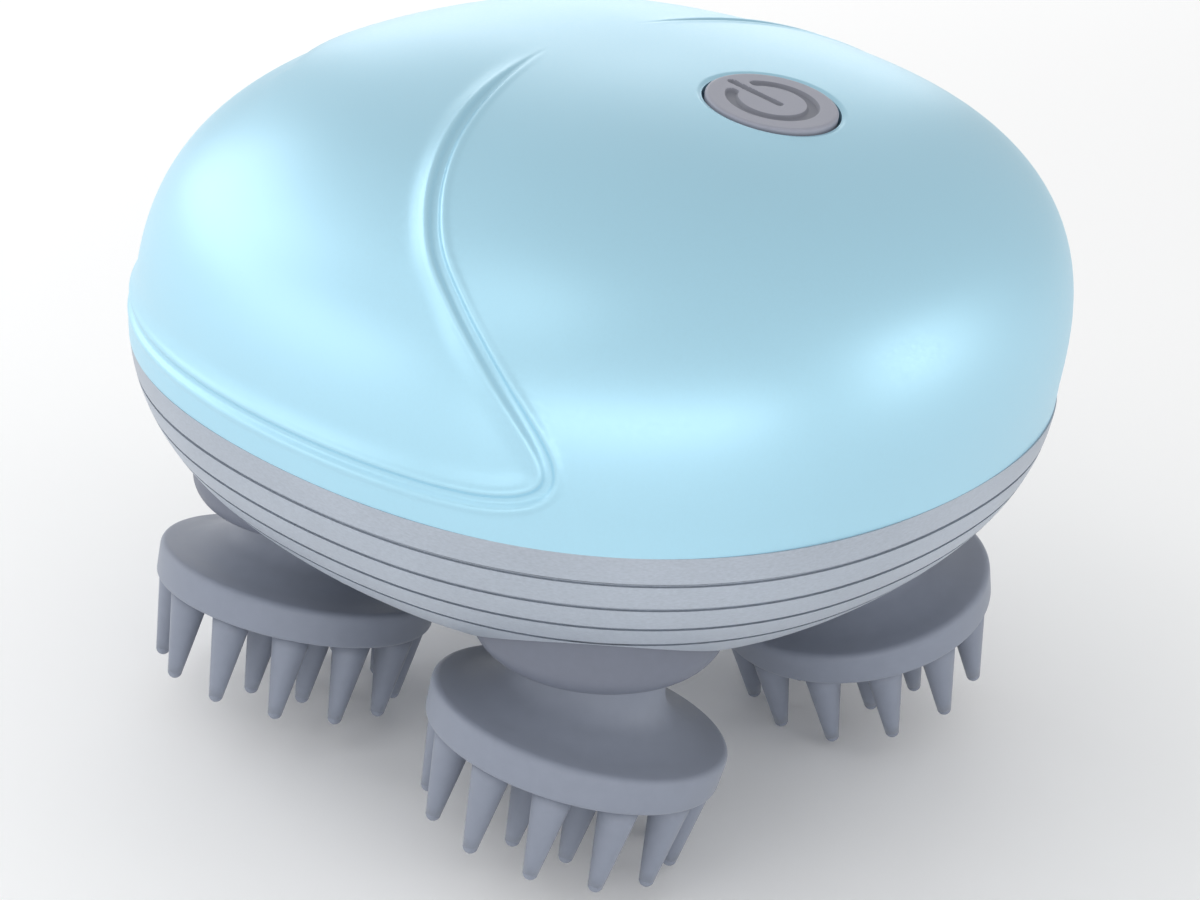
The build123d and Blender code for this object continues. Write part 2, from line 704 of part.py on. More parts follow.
# ---- button and electronics -----------------------------------------------------------------
def make_button():
    """Round button with a retaining flange, its seal, the switch and its plunger."""
    switch_top = BOARD_DROP - 3.6
    with BuildPart() as button_cap:
        with BuildSketch(button_plane()):
            Circle(BUTTON_RADIUS)
        extrude(amount=-(BUTTON_THICK + 0.1))
        fillet(button_cap.edges().group_by(Axis.Z)[-1], 0.35)
        with BuildSketch(button_plane(BUTTON_THICK + 0.1)):
            Circle(BUTTON_RADIUS + 1.2)
        extrude(amount=-0.9)
        with BuildSketch(button_plane(BUTTON_THICK + 1.0)):
            Circle(1.7)
        extrude(amount=-(switch_top - 0.6 - BUTTON_THICK - 1.0))
    keep("button_cap", button_cap.part)
    with BuildPart() as switch_plunger:
        with BuildSketch(button_plane(switch_top - 0.6)):
            Circle(1.7)
        extrude(amount=-1.6)
    keep("switch_plunger", switch_plunger.part)
    with BuildPart() as tact_switch:
        with BuildSketch(button_plane(BOARD_DROP)):
            RectangleRounded(6, 6, 0.6)
        extrude(amount=3.6)
        with BuildSketch(button_plane(switch_top)):
            Circle(2.1)
        extrude(amount=-2.2, mode=Mode.SUBTRACT)
    keep("tact_switch", tact_switch.part)
    with BuildPart() as button_seal:
        with BuildSketch(button_plane(6.4)):
            Circle(BUTTON_RADIUS + 1.8)
            Circle(2.2, mode=Mode.SUBTRACT)
        extrude(amount=0.8)
    keep("button_seal", button_seal.part)


def make_board():
    """Circuit board parallel to the button, with its parts on the lower side."""
    with BuildPart() as circuit_board:
        with BuildSketch(button_plane(BOARD_DROP + BOARD_THICK)):
            with Locations((0, -1.9)):
                RectangleRounded(29, 17.6, 2)
            with Locations(*board_holes()):
                Circle(0.9, mode=Mode.SUBTRACT)
        extrude(amount=BOARD_THICK)
    keep("circuit_board", circuit_board.part)
    with BuildPart() as board_components:
        with BuildSketch(button_plane(BOARD_DROP + BOARD_THICK)):
            with Locations((-4, -0.5)):
                Rectangle(6, 5)
            with Locations((6, -6.5)):
                Rectangle(4.5, 4)
            with Locations((-5, -7.5), (-1, -7.5)):
                Rectangle(2.5, 1.6)
        extrude(amount=-1.4)
        with BuildSketch(button_plane(BOARD_DROP + BOARD_THICK)):
            with Locations((7, 0.5)):
                Circle(2.4)
        extrude(amount=-4)
    keep("board_components", board_components.part)
    with BuildPart() as board_screws:
        with BuildSketch(button_plane(BOARD_DROP + BOARD_THICK)):
            with Locations(*board_holes()):
                Circle(1.7)
        extrude(amount=-1.1)
        with BuildSketch(button_plane(BOARD_DROP + BOARD_THICK)):
            with Locations(*board_holes()):
                Circle(0.9)
        extrude(amount=BOARD_THICK + 4)
    keep("board_screws", board_screws.part)


def make_cell():
    """Round lithium cell lying across the rear, in a cradle on the gearbox plate."""
    half = CELL_LENGTH / 2
    lying = Plane(origin=(-half, CELL_Y, CELL_Z), x_dir=(0, 1, 0), z_dir=(1, 0, 0))
    with BuildPart() as battery_cell:
        with BuildSketch(lying):
            Circle(CELL_RADIUS)
        extrude(amount=CELL_LENGTH)
        chamfer(battery_cell.edges().filter_by(GeomType.CIRCLE), 0.5)
        with BuildSketch(lying.offset(CELL_LENGTH)):
            Circle(2.6)
        extrude(amount=1.2)
    keep("battery_cell", battery_cell.part)
    with BuildPart() as battery_cradle:
        with BuildSketch(Plane(origin=(0, CELL_Y, PLATE_TOP))):
            RectangleRounded(40, 2 * CELL_RADIUS + 2, 2)
        extrude(amount=CELL_Z - PLATE_TOP - 2)
        with BuildSketch(lying):
            Circle(CELL_RADIUS)
        extrude(amount=CELL_LENGTH, mode=Mode.SUBTRACT)
        with BuildSketch(Plane(origin=(0, CELL_Y, PLATE_TOP))):
            Rectangle(30, 11.2)
        extrude(amount=CELL_Z, mode=Mode.SUBTRACT)
    keep("battery_cradle", battery_cradle.part)


def make_port():
    """Charge socket with its contact tongue, and the silicone flap over it."""
    width, tall, deep = SOCKET_SIZE
    flap_width, flap_tall, flap_thick = FLAP_SIZE
    with BuildPart() as charge_socket:
        with BuildSketch(port_plane(2.4)):
            RectangleRounded(width, tall, 1.5)
        extrude(amount=-deep)
        with BuildSketch(port_plane(2.4)):
            RectangleRounded(width - 0.6, tall - 0.6, 1.25)
        extrude(amount=-(deep - 0.8), mode=Mode.SUBTRACT)
    keep("charge_socket", charge_socket.part)
    with BuildPart() as charge_contacts:
        with BuildSketch(port_plane(2.4 + deep - 0.8)):
            Rectangle(6.6, 0.7)
        extrude(amount=deep - 1.8)
    keep("charge_contacts", charge_contacts.part)
    with BuildPart() as port_flap:
        with BuildSketch(port_plane(flap_thick)):
            RectangleRounded(flap_width, flap_tall, 1.4)
        extrude(amount=flap_thick)
        with BuildSketch(port_plane(flap_thick + 0.7)):
            RectangleRounded(7.6, 1.9, 0.9)
        extrude(amount=0.7)
    keep("port_flap", port_flap.part)
    with BuildPart() as flap_anchor:
        with BuildSketch(port_plane(flap_thick + 0.2)):
            with Locations((0, -flap_tall / 2 - 1.25)):
                RectangleRounded(flap_width - 3, 1.8, 0.6)
        extrude(amount=flap_thick)
    keep("flap_anchor", flap_anchor.part)


def make_screws(name, places, height, length, up=1):
    """A group of equal pan-head screws, driven upwards or downwards."""
    with BuildPart() as screws:
        with BuildSketch(Plane.XY.offset(height)):
            with Locations(*places):
                Circle(SCREW_HEAD)
        extrude(amount=up * SCREW_HEAD_THICK)
        with BuildSketch(Plane.XY.offset(height)):
            with Locations(*places):
                Circle(SCREW_RADIUS)
        extrude(amount=up * (SCREW_HEAD_THICK + length))
    keep(name, screws.part)


make_upper_casing()
make_lower_casing()
make_gasket()
make_base_cover()
make_tray()
make_gearbox_plate()
make_compound_gear()
make_drive_gear()
make_motor()
ring_at_hubs("spindle_bushes", TRAY_Z, SPINDLE_RADIUS + RUN_FIT, 5, 2.3)
ring_at_hubs("shaft_seals", TRAY_Z - 1.4, SPINDLE_RADIUS + RUN_FIT, 6.5, 1.4)
for corner in CORNERS:
    make_drive_line(corner)
    make_crank_hub(corner)
    make_head_core(corner)
    make_massage_head(corner)
make_button()
make_board()
make_cell()
make_port()
make_screws("casing_screws", CASE_POSTS, BASE_Z + COVER_THICK, 25)
make_screws("tray_screws", TRAY_POSTS, BASE_Z + COVER_THICK, 9)
make_screws("plate_screws", TRAY_POSTS, PLATE_TOP + SCREW_HEAD_THICK, 8, -1)
make_screws("cover_screw", ((0, 0),), BASE_Z, 3.2)

os.makedirs("parts", exist_ok=True)
for name, part in made.items():
    export_step(part, "parts/" + name + ".step")
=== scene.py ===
import json
import math

import bmesh
import bpy
from mathutils import Matrix, Vector, kdtree


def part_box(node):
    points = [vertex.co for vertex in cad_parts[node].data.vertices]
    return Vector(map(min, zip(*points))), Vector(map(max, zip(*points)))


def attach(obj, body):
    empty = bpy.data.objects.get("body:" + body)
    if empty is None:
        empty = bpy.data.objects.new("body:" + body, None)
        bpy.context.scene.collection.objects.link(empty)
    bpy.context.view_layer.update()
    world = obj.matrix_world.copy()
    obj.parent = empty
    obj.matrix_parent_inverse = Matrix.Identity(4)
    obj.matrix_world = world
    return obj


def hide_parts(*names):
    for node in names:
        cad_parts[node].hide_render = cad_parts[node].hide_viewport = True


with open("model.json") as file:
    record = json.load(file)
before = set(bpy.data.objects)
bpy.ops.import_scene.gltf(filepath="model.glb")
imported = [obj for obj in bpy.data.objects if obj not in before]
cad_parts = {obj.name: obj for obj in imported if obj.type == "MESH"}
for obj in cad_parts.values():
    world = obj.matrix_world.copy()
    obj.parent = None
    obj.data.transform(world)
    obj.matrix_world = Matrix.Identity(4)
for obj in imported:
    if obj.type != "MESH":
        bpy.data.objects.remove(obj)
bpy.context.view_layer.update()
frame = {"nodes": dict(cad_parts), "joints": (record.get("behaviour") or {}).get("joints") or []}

# ---- View, light and floor ------------------------------------------------------------------
# A camera a third of a metre away looks down on the front left corner. Four soft boxes stand round
# the dome, two low ones reach the bowl and the heads, and the pale floor carries a soft shadow.
MM = 0.001                  # metres in a millimetre
AIM = Vector((-3.8, -5.3, 36.6)) * MM
VIEW_AZIMUTH = math.radians(-50.2)
VIEW_ELEVATION = math.radians(25.8)
VIEW_ROLL = math.radians(4.3)
VIEW_DISTANCE = 313.7 * MM
LENS = 81.5
DOME_AIM = (0, 0, 0.06)
BOWL_AIM = (0, 0, 0.05)
HEADS_AIM = (0, 0, 0.015)
SURROUND = 0.7              # strength of the even light from all sides
FLOOR_REACH = 9.0           # half the width of the floor, in metres
FLOOR_WHITE = (0.985, 0.988, 0.99)

back = Vector((
    math.sin(VIEW_AZIMUTH) * math.cos(VIEW_ELEVATION),
    -math.cos(VIEW_AZIMUTH) * math.cos(VIEW_ELEVATION),
    math.sin(VIEW_ELEVATION),
))
level = Vector((math.cos(VIEW_AZIMUTH), math.sin(VIEW_AZIMUTH), 0))
upright = back.cross(level)
across = level * math.cos(VIEW_ROLL) + upright * math.sin(VIEW_ROLL)
camera_data = bpy.data.cameras.new("camera")
camera_data.lens = LENS
camera_data.sensor_width = 36
camera_data.clip_start = 0.01
camera = bpy.data.objects.new("camera", camera_data)
turn_matrix = Matrix((across, back.cross(across), back)).transposed().to_4x4()
camera.matrix_world = Matrix.Translation(AIM + back * VIEW_DISTANCE) @ turn_matrix
bpy.context.scene.collection.objects.link(camera)
bpy.context.scene.camera = camera


def soft_box(name, place, target, size, power):
    """Rectangular studio light at a place, turned to its target."""
    data = bpy.data.lights.new(name, "AREA")
    data.shape = "RECTANGLE"
    data.size, data.size_y = size
    data.energy = power
    lamp = bpy.data.objects.new(name, data)
    lamp.location = Vector(place)
    lamp.rotation_euler = (Vector(target) - Vector(place)).to_track_quat("-Z", "Y").to_euler()
    bpy.context.scene.collection.objects.link(lamp)


soft_box("rear_box", (-0.15, 0.55, 0.26), DOME_AIM, (0.5, 0.36), 1.05)
soft_box("rear_right_box", (0.50, 0.42, 0.20), DOME_AIM, (0.44, 0.3), 0.62)
soft_box("right_box", (0.33, -0.54, 0.14), DOME_AIM, (0.26, 0.26), 0.52)
soft_box("left_box", (-0.39, 0.04, 0.5), DOME_AIM, (0.34, 0.34), 0.34)
soft_box("left_low_box", (-0.52, 0.34, 0.13), BOWL_AIM, (0.4, 0.2), 0.4)
soft_box("low_fill", (-0.42, -0.40, 0.07), HEADS_AIM, (1.0, 0.14), 1.15)

world = bpy.data.worlds.new("studio")
world.use_nodes = True
backdrop = world.node_tree.nodes["Background"]
backdrop.inputs["Color"].default_value = (1, 1, 1, 1)
backdrop.inputs["Strength"].default_value = SURROUND
bpy.context.scene.world = world
bpy.context.scene.view_settings.view_transform = "Standard"


def new_material(name):
    """Node material with its principled shader."""
    material = bpy.data.materials.new(name)
    material.use_nodes = True
    shader = material.node_tree.nodes["Principled BSDF"]
    return material, shader


floor_mesh = bpy.data.meshes.new("floor")
floor_corners = [(x * FLOOR_REACH, y * FLOOR_REACH, 0) for x, y in ((-1, -1), (1, -1), (1, 1), (-1, 1))]
floor_mesh.from_pydata(floor_corners, [], [(0, 1, 2, 3)])
floor = bpy.data.objects.new("floor", floor_mesh)
bpy.context.scene.collection.objects.link(floor)
floor_material, floor_shader = new_material("floor_paper")
floor_shader.inputs["Base Color"].default_value = (*FLOOR_WHITE, 1)
floor_shader.inputs["Roughness"].default_value = 0.9
floor_mesh.materials.append(floor_material)


# ---- Lower casing and base cover ------------------------------------------------------------
# Injection-moulded ABS bowl with a satin, finely brushed grain and four pinstripe grooves, each
# darkened along its middle by a thin line of painted shade. The flush cross-shaped cover
# underneath hides the inner screws.
BAND_GROOVES = (44.0, 40.6, 37.3, 34.0)     # height of the lower edge of each groove
GROOVE_WIDTH = 0.45
GROOVE_SHADE = 0.2          # half width of the painted shade line, as a share of the groove
CASING_GREY = (0.36, 0.40, 0.46)
# colour of the painted shade along the middle of each groove
GROOVE_SHADE_TONE = (0.16, 0.18, 0.21)
NOISE_LOW, NOISE_HIGH = 0.3, 0.7            # most of a noise texture lies between these
CLOUD_SCALE = 38            # patches of the slow tone drift, per metre
CLOUD_SHARE = 0.5           # part of the tone that drifts, beside the fine grain
ROUGH_SPREAD = 0.05
BUMP_STRENGTH = 0.35
COLOUR_A, COLOUR_B, COLOUR_OUT = 6, 7, 2    # colour sockets of a Mix node


def grain_group():
    """Moulded-surface effect: slow tone drift, fine grain and a height for bumps."""
    group = bpy.data.node_groups.new("moulded_grain", "ShaderNodeTree")
    for label, side, kind in (
        ("Colour", "INPUT", "Color"),
        ("Drift", "INPUT", "Float"),
        ("Grain scale", "INPUT", "Float"),
        ("Stretch", "INPUT", "Vector"),
        ("Rough low", "INPUT", "Float"),
        ("Rough high", "INPUT", "Float"),
        ("Colour", "OUTPUT", "Color"),
        ("Roughness", "OUTPUT", "Float"),
        ("Height", "OUTPUT", "Float"),
    ):
        group.interface.new_socket(name=label, in_out=side, socket_type="NodeSocket" + kind)
    nodes, links = group.nodes, group.links
    enter = nodes.new("NodeGroupInput")
    leave = nodes.new("NodeGroupOutput")
    place = nodes.new("ShaderNodeTexCoord")
    stretch = nodes.new("ShaderNodeVectorMath")
    stretch.operation = "MULTIPLY"
    links.new(place.outputs["Object"], stretch.inputs[0])
    links.new(enter.outputs["Stretch"], stretch.inputs[1])
    grain = nodes.new("ShaderNodeTexNoise")
    grain.inputs["Detail"].default_value = 4
    links.new(stretch.outputs[0], grain.inputs["Vector"])
    links.new(enter.outputs["Grain scale"], grain.inputs["Scale"])
    cloud = nodes.new("ShaderNodeTexNoise")
    cloud.inputs["Scale"].default_value = CLOUD_SCALE
    cloud.inputs["Detail"].default_value = 2
    links.new(place.outputs["Object"], cloud.inputs["Vector"])
    blended = nodes.new("ShaderNodeMath")
    blended.operation = "MULTIPLY_ADD"
    links.new(cloud.outputs["Fac"], blended.inputs[0])
    blended.inputs[1].default_value = CLOUD_SHARE
    fine = nodes.new("ShaderNodeMath")
    fine.operation = "MULTIPLY"
    fine.inputs[1].default_value = 1 - CLOUD_SHARE
    links.new(grain.outputs["Fac"], fine.inputs[0])
    links.new(fine.outputs[0], blended.inputs[2])
    tone = nodes.new("ShaderNodeMapRange")
    links.new(blended.outputs[0], tone.inputs["Value"])
    tone.inputs["From Min"].default_value = NOISE_LOW
    tone.inputs["From Max"].default_value = NOISE_HIGH
    low = nodes.new("ShaderNodeMath")
    low.operation = "SUBTRACT"
    low.inputs[0].default_value = 1
    links.new(enter.outputs["Drift"], low.inputs[1])
    high = nodes.new("ShaderNodeMath")
    high.inputs[0].default_value = 1
    links.new(enter.outputs["Drift"], high.inputs[1])
    links.new(low.outputs[0], tone.inputs["To Min"])
    links.new(high.outputs[0], tone.inputs["To Max"])
    tint = nodes.new("ShaderNodeVectorMath")
    tint.operation = "SCALE"
    links.new(enter.outputs["Colour"], tint.inputs[0])
    links.new(tone.outputs["Result"], tint.inputs["Scale"])
    links.new(tint.outputs[0], leave.inputs["Colour"])
    rough = nodes.new("ShaderNodeMapRange")
    links.new(grain.outputs["Fac"], rough.inputs["Value"])
    rough.inputs["From Min"].default_value = NOISE_LOW
    rough.inputs["From Max"].default_value = NOISE_HIGH
    links.new(enter.outputs["Rough low"], rough.inputs["To Min"])
    links.new(enter.outputs["Rough high"], rough.inputs["To Max"])
    links.new(rough.outputs["Result"], leave.inputs["Roughness"])
    links.new(grain.outputs["Fac"], leave.inputs["Height"])
    return group


GRAIN = grain_group()


def moulded(name, colour, roughness, drift=0.04, grain=900, stretch=(1, 1, 1), depth=0.02, **gloss):
    """Moulded or turned finish with the shared grain; gloss sets plain shader sockets."""
    material, shader = new_material(name)
    nodes, links = material.node_tree.nodes, material.node_tree.links
    effect = nodes.new("ShaderNodeGroup")
    effect.node_tree = GRAIN
    effect.inputs["Colour"].default_value = (*colour, 1)
    effect.inputs["Drift"].default_value = drift
    effect.inputs["Grain scale"].default_value = grain
    effect.inputs["Stretch"].default_value = stretch
    effect.inputs["Rough low"].default_value = roughness - ROUGH_SPREAD
    effect.inputs["Rough high"].default_value = roughness + ROUGH_SPREAD
    bump = nodes.new("ShaderNodeBump")
    bump.inputs["Strength"].default_value = BUMP_STRENGTH
    bump.inputs["Distance"].default_value = depth * MM
    links.new(effect.outputs["Colour"], shader.inputs["Base Color"])
    links.new(effect.outputs["Roughness"], shader.inputs["Roughness"])
    links.new(effect.outputs["Height"], bump.inputs["Height"])
    links.new(bump.outputs["Normal"], shader.inputs["Normal"])
    for socket, value in gloss.items():
        shader.inputs[socket.replace("_", " ")].default_value = value
    return material


def paint_groove_shade(material):
    """Paints shade into the narrow level bands where the pinstripe grooves run."""
    nodes, links = material.node_tree.nodes, material.node_tree.links
    effect = nodes["Group"]
    shader = nodes["Principled BSDF"]
    place = nodes.new("ShaderNodeTexCoord")
    split = nodes.new("ShaderNodeSeparateXYZ")
    links.new(place.outputs["Object"], split.inputs[0])
    total = None
    for height in BAND_GROOVES:
        band = nodes.new("ShaderNodeMath")
        band.operation = "COMPARE"
        links.new(split.outputs["Z"], band.inputs[0])
        band.inputs[1].default_value = (height + GROOVE_WIDTH / 2) * MM
        band.inputs[2].default_value = GROOVE_WIDTH * GROOVE_SHADE * MM
        if total is None:
            total = band
        else:
            add = nodes.new("ShaderNodeMath")
            links.new(total.outputs[0], add.inputs[0])
            links.new(band.outputs[0], add.inputs[1])
            total = add
    mix = nodes.new("ShaderNodeMix")
    mix.data_type = "RGBA"
    links.new(total.outputs[0], mix.inputs["Factor"])
    links.new(effect.outputs["Colour"], mix.inputs[COLOUR_A])
    # the dark tone is painted shade along each groove
    mix.inputs[COLOUR_B].default_value = (*GROOVE_SHADE_TONE, 1)
    links.new(mix.outputs[COLOUR_OUT], shader.inputs["Base Color"])


def finish_nodes(material, *names):
    """Gives CAD nodes their finished material."""
    for name in names:
        mesh = frame["nodes"][name].data
        mesh.materials.clear()
        mesh.materials.append(material)


casing_grey = moulded("casing_grey", CASING_GREY, 0.42, 0.15, 1900, (1, 1, 3), 0.05,
                      Specular_IOR_Level=0.45)
paint_groove_shade(casing_grey)
finish_nodes(casing_grey, "lower_casing")
cover_grey = moulded("cover_grey", CASING_GREY, 0.5, 0.05, 1200)
finish_nodes(cover_grey, "base_cover")

# ---- Gear tray, gearbox plate and cell cradle -----------------------------------------------
# Black glass-filled frames that stack inside the bowl and hold the gears, motor and cell.
frame_black = moulded("frame_black", (0.022, 0.024, 0.028), 0.55, 0.15, 700, depth=0.04)
finish_nodes(frame_black, "gear_tray", "gearbox_plate", "battery_cradle")

# ---- Gears ----------------------------------------------------------------------------------
# Moulded acetal wheels, slightly waxy, with a turned brass pinion pressed on the motor shaft.
acetal = moulded("acetal", (0.78, 0.77, 0.71), 0.38, 0.03, 400, depth=0.01)
finish_nodes(acetal, "compound_gear", "drive_gear")
turned_brass = moulded("turned_brass", (0.72, 0.50, 0.22), 0.28, 0.05, 1600, (1, 1, 8), Metallic=1.0)
finish_nodes(turned_brass, "motor_pinion")

# ---- Axles, bushes, seals and screws --------------------------------------------------------
# Ground steel pins and zinc-plated screws, sintered bronze bushes and black nitrile seals.
ground_steel = moulded("ground_steel", (0.58, 0.58, 0.57), 0.26, 0.04, 1800, (1, 1, 10), Metallic=1.0)
finish_nodes(ground_steel, "compound_axle", "drive_axle", "drive_clip")
zinc_plate = moulded("zinc_plate", (0.52, 0.54, 0.56), 0.34, 0.07, 900, Metallic=1.0)
finish_nodes(zinc_plate, "casing_screws", "tray_screws", "plate_screws", "cover_screw", "board_screws")
bronze = moulded("sintered_bronze", (0.44, 0.26, 0.12), 0.5, 0.14, 2200, Metallic=1.0)
finish_nodes(bronze, "spindle_bushes")
seal_black = moulded("seal_black", (0.02, 0.02, 0.022), 0.6, 0.1, 600)
finish_nodes(seal_black, "case_gasket", "shaft_seals", "button_seal")

# ---- Motor ----------------------------------------------------------------------------------
# Plated steel can with ferrite magnets, a black end cap, two brass terminals and an armature
# wound in copper. The charge socket shell has the same plating.
plated_can = moulded("plated_can", (0.60, 0.61, 0.62), 0.24, 0.05, 900, (1, 1, 5), Metallic=1.0)
finish_nodes(plated_can, "motor_can", "charge_socket")
finish_nodes(turned_brass, "motor_terminals")
ferrite = moulded("ferrite", (0.035, 0.035, 0.038), 0.7, 0.2, 1500)
finish_nodes(ferrite, "motor_magnets")
black_moulding = moulded("black_moulding", (0.015, 0.015, 0.017), 0.45, 0.1, 700)
finish_nodes(black_moulding, "motor_end_cap")
copper = moulded("enamelled_copper", (0.55, 0.20, 0.07), 0.3, 0.12, 1400, (1, 1, 12), Metallic=0.9)
finish_nodes(copper, "motor_rotor")

# ---- Cell and circuit board -----------------------------------------------------------------
# Lithium cell in a heat-shrunk sleeve, and a green solder-masked board with its parts, the
# switch under the button and the tongue of the charge socket in black.
sleeve = moulded("shrink_sleeve", (0.03, 0.10, 0.30), 0.3, 0.05, 120, Coat_Weight=0.3)
finish_nodes(sleeve, "battery_cell")
solder_mask = moulded("solder_mask", (0.01, 0.11, 0.045), 0.3, 0.12, 500, Coat_Weight=0.5)
finish_nodes(solder_mask, "circuit_board")
finish_nodes(black_moulding, "board_components", "tact_switch", "switch_plunger", "charge_contacts")

# ---- Turning hubs ---------------------------------------------------------------------------
# Satin bluish-grey nylon cups. Each is pressed on a steel spindle that carries its output gear
# inside the casing, and has an inclined stub with a stiff core for the silicone head.
CORNERS = ("front_left", "rear_left", "front_right", "rear_right")
hub_grey = moulded("hub_grey", (0.15, 0.165, 0.21), 0.46, 0.05, 800, Specular_IOR_Level=0.4)
core_grey = moulded("core_grey", (0.06, 0.065, 0.075), 0.55, 0.08, 800)
for corner in CORNERS:
    finish_nodes(hub_grey, "crank_hub_" + corner)
    finish_nodes(core_grey, "head_core_" + corner)
    finish_nodes(acetal, "output_gear_" + corner)
    finish_nodes(ground_steel, "spindle_" + corner)

# ---- Massage heads --------------------------------------------------------------------------
# One-piece silicone heads: a flared neck, a thick-rimmed disc and 21 tapered round-tipped
# bristles. Each is stretched over its stiff core and leans from the axis of its turning hub.
PIVOT_Z = 23.3
NECK_TOP = 4.6
NECK_FOOT = -2.6
NECK_RADIUS = 8.0
FLARE_RADIUS = 12.6
FLARE_Z = -5.2
DISC_RADIUS = 16.9
DISC_FACE = -10.0
RIM_THICK = 4.2
RIM_TAPER = 0.25
BRISTLE_LENGTH = 10.5
BRISTLE_ROOT = 2.3
BRISTLE_TIP = 0.85
BRISTLE_SIDES = 20
OUTER_RING = (14.0, 12)     # radius and number of bristles
INNER_RING = (7.9, 8)
ROUNDING_STEPS = 8
ROUNDING_SHARE = 0.48       # most of a side that one rounding may take
HEAD_SEGMENTS = 128
HEAD_BLUE_GREY = (0.225, 0.25, 0.31)


def link_mesh(name, mesh):
    """Object for a finished mesh, at the origin."""
    piece = bpy.data.objects.new(name, mesh)
    bpy.context.scene.collection.objects.link(piece)
    return piece


def rounded_profile(corners):
    """Half-section through (radius, height, rounding) corners, each rounded by a small curve."""
    points = []
    for index, (radius, height, rounding) in enumerate(corners):
        here = Vector((radius, height))
        if rounding == 0 or index in (0, len(corners) - 1):
            points.append(here)
            continue
        before = Vector(corners[index - 1][:2]) - here
        after = Vector(corners[index + 1][:2]) - here
        start = here + before.normalized() * min(rounding, before.length * ROUNDING_SHARE)
        stop = here + after.normalized() * min(rounding, after.length * ROUNDING_SHARE)
        for step in range(ROUNDING_STEPS + 1):
            t = step / ROUNDING_STEPS
            points.append((1 - t) ** 2 * start + 2 * t * (1 - t) * here + t * t * stop)
    return points


def turned(name, profile, segments):
    """Solid of revolution about local Z, from a half-section that starts and ends on the axis."""
    mesh = bpy.data.meshes.new(name)
    verts = [(0, 0, profile[0].y * MM)]
    faces = []
    rings = profile[1:-1]
    for point in rings:
        for step in range(segments):
            angle = 2 * math.pi * step / segments
            verts.append((point.x * math.cos(angle) * MM, point.x * math.sin(angle) * MM, point.y * MM))
    verts.append((0, 0, profile[-1].y * MM))
    last = len(verts) - 1
    for step in range(segments):
        after = (step + 1) % segments
        faces.append((0, 1 + step, 1 + after))
        for ring in range(len(rings) - 1):
            low = 1 + ring * segments
            high = low + segments
            faces.append((low + step, high + step, high + after, low + after))
        end = 1 + (len(rings) - 1) * segments
        faces.append((end + after, end + step, last))
    mesh.from_pydata(verts, [], faces)
    mesh.update()
    return mesh


def smooth_by_angle(mesh, degrees=35):
    """Outward normals, smooth faces and hard edges above an angle."""
    shape = bmesh.new()
    shape.from_mesh(mesh)
    bmesh.ops.recalc_face_normals(shape, faces=shape.faces)
    for face in shape.faces:
        face.smooth = True
    for edge in shape.edges:
        if edge.is_manifold:
            edge.smooth = edge.calc_face_angle() < math.radians(degrees)
    shape.to_mesh(mesh)
    shape.free()


